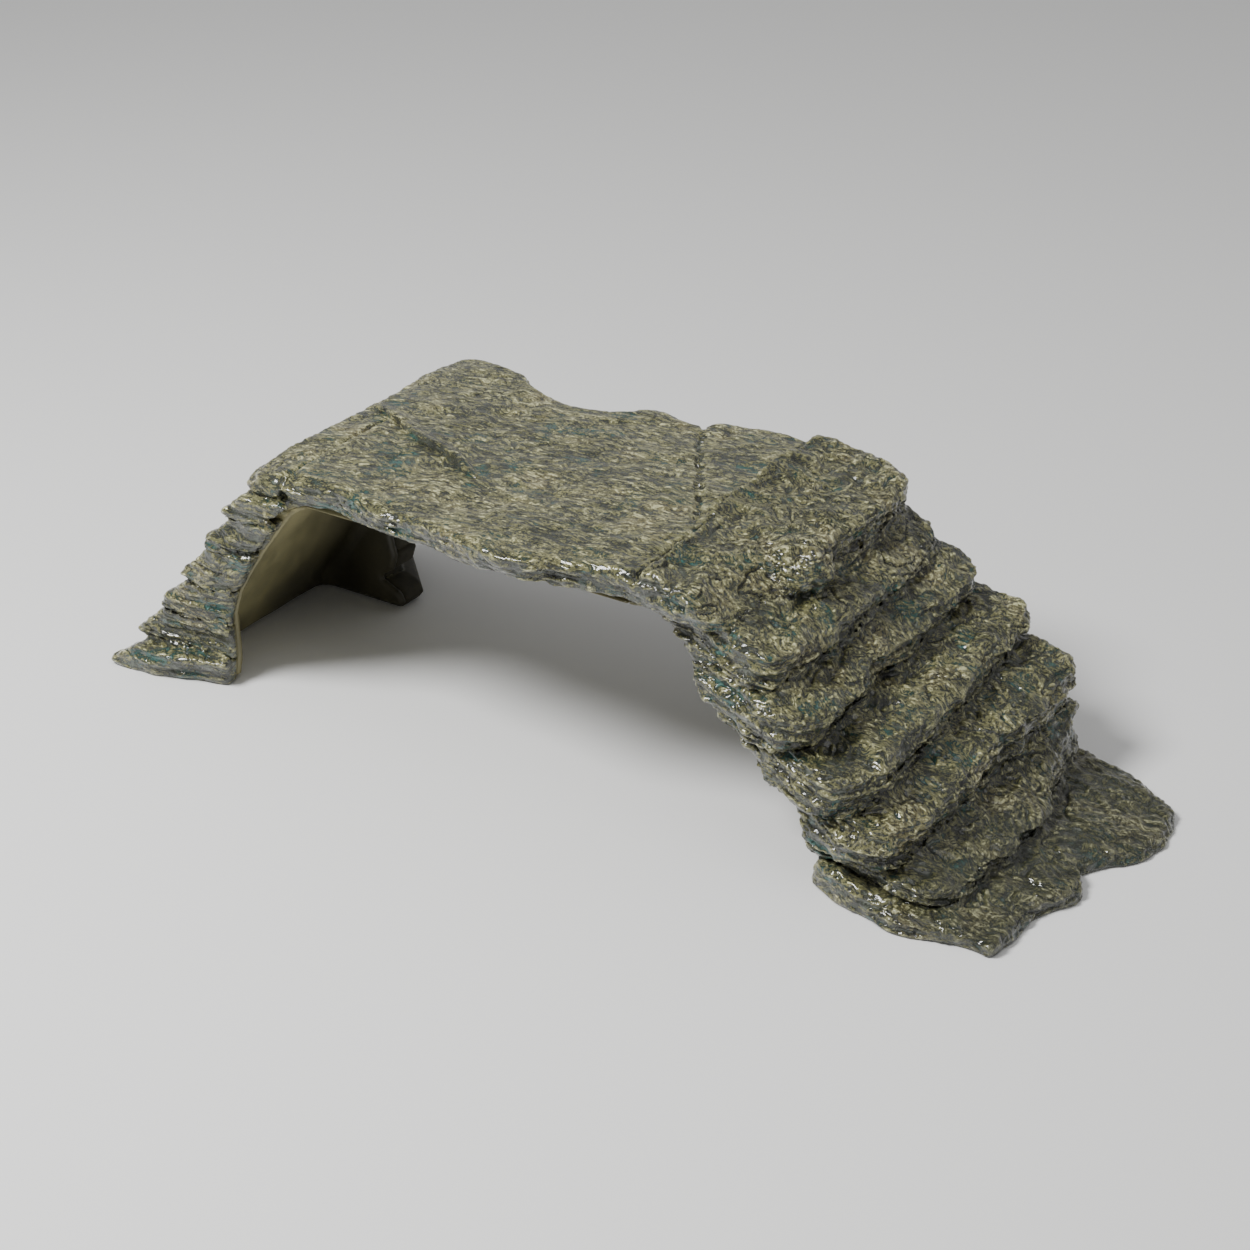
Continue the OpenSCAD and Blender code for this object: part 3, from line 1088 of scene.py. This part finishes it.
def build_rocks():
    """All the slabs, each with the slabs that it forms a crease with."""
    outline = course_outline()
    slabs = {}
    slabs[ledge_name(LEDGES)] = Slab(
        0, course_top, course_bottom, course_plan(outline, None, DECK_LEFT),
        DECK_PROFILE, edge=3, ragged=0.5, layers=0.8,
    )
    slabs["deck_slab"] = Slab(
        0, course_top, course_bottom, course_plan(outline, DECK_LEFT, DECK_RIGHT + 3),
        DECK_PROFILE, edge=3, ragged=0.5, layers=0.8,
    )
    slabs["step_1"] = Slab(
        0, course_top, step_one_bottom, course_plan(outline, DECK_RIGHT, None),
        STEP_PROFILE, edge=3, ragged=0.5, layers=0.8,
    )
    for k in range(LEDGES - 1, 0, -1):
        slabs[ledge_name(k)] = make_ledge(k, slabs[ledge_name(k + 1)])
    for k in range(2, STEPS + 1):
        slabs[step_name(k)] = make_step(k, slabs[step_name(k - 1)])
    slabs["apron"] = make_apron(slabs[step_name(STEPS)])
    slabs["deck_rear_plate"] = make_plate()
    slabs["nose_block"] = make_block([slabs["step_1"], slabs["step_2"]])
    order = [ledge_name(k) for k in range(1, LEDGES + 1)]
    stairs = [step_name(k) for k in range(1, STEPS + 2)]
    creases = {name: [] for name in slabs}
    for chain in (order, stairs):
        for a, b in zip(chain, chain[1:]):
            creases[a].append(slabs[b].shape)
            creases[b].append(slabs[a].shape)
    for name, slab in slabs.items():
        low, high = box(name)
        low, high = low - ROOM, high + ROOM + (0, 0, ROOM_ABOVE)
        if name in stairs[1:-1]:
            low[0] -= ROOM_BESIDE
        low[2] = max(low[2], 0)
        add_rock(name, slab, low, high, creases[name], DECK_GRID if name == "deck_slab" else GRID)


def build_skins():
    split = DECK_LEFT + 6
    add_skin("skin_left", -np.inf, split)
    add_skin("skin_deck", split, DECK_RIGHT)
    add_skin("skin_right", DECK_RIGHT, np.inf)


build_rocks()
build_skins()


# Floor, lights and camera

VIEW_AZIMUTH = math.radians(33)
VIEW_ELEVATION = math.radians(28)
VIEW_DISTANCE = 1.0
AIM = Vector((LOW[0] + 153.5, HIGH[1] - 5.5, 0)) * MM


def direction(azimuth, elevation):
    """Unit vector from the object towards a place round it; azimuth 0 is in front of it."""
    return Vector((
        math.sin(azimuth) * math.cos(elevation),
        -math.cos(azimuth) * math.cos(elevation),
        math.sin(elevation),
    ))


def add_camera():
    data = bpy.data.cameras.new("camera")
    data.lens = 70.56
    data.sensor_width = 36
    data.clip_start = 0.01
    camera = bpy.data.objects.new("camera", data)
    bpy.context.collection.objects.link(camera)
    back = direction(VIEW_AZIMUTH, VIEW_ELEVATION)
    camera.location = AIM + back * VIEW_DISTANCE
    camera.rotation_mode = "QUATERNION"
    camera.rotation_quaternion = (-back).to_track_quat("-Z", "Y")
    bpy.context.scene.camera = camera


def add_light(name, azimuth, elevation, distance, size, power):
    data = bpy.data.lights.new(name, "AREA")
    data.shape = "DISK"
    data.size = size
    data.energy = power
    light = bpy.data.objects.new(name, data)
    bpy.context.collection.objects.link(light)
    back = direction(math.radians(azimuth), math.radians(elevation))
    light.location = back * distance
    light.rotation_mode = "QUATERNION"
    light.rotation_quaternion = back.to_track_quat("Z", "Y")


def add_floor():
    mesh = bpy.data.meshes.new("floor")
    mesh.from_pydata([(-4, -4, 0), (4, -4, 0), (4, 4, 0), (-4, 4, 0)], [], [(0, 1, 2, 3)])
    floor = bpy.data.objects.new("floor", mesh)
    floor.location.z = -0.0002
    bpy.context.collection.objects.link(floor)
    material = bpy.data.materials.new("floor")
    material.use_nodes = True
    shader = material.node_tree.nodes["Principled BSDF"]
    shader.inputs["Base Color"].default_value = (0.86, 0.86, 0.85, 1)
    shader.inputs["Roughness"].default_value = 0.7
    mesh.materials.append(material)


add_camera()
add_floor()
add_light("key", -32, 54, 1.2, 0.42, 18)
add_light("fill", 60, 62, 1.6, 1.0, 3)
world = bpy.data.worlds.new("world")
world.use_nodes = True
world.node_tree.nodes["Background"].inputs["Color"].default_value = (1, 1, 1, 1)
world.node_tree.nodes["Background"].inputs["Strength"].default_value = 0.38
bpy.context.scene.world = world
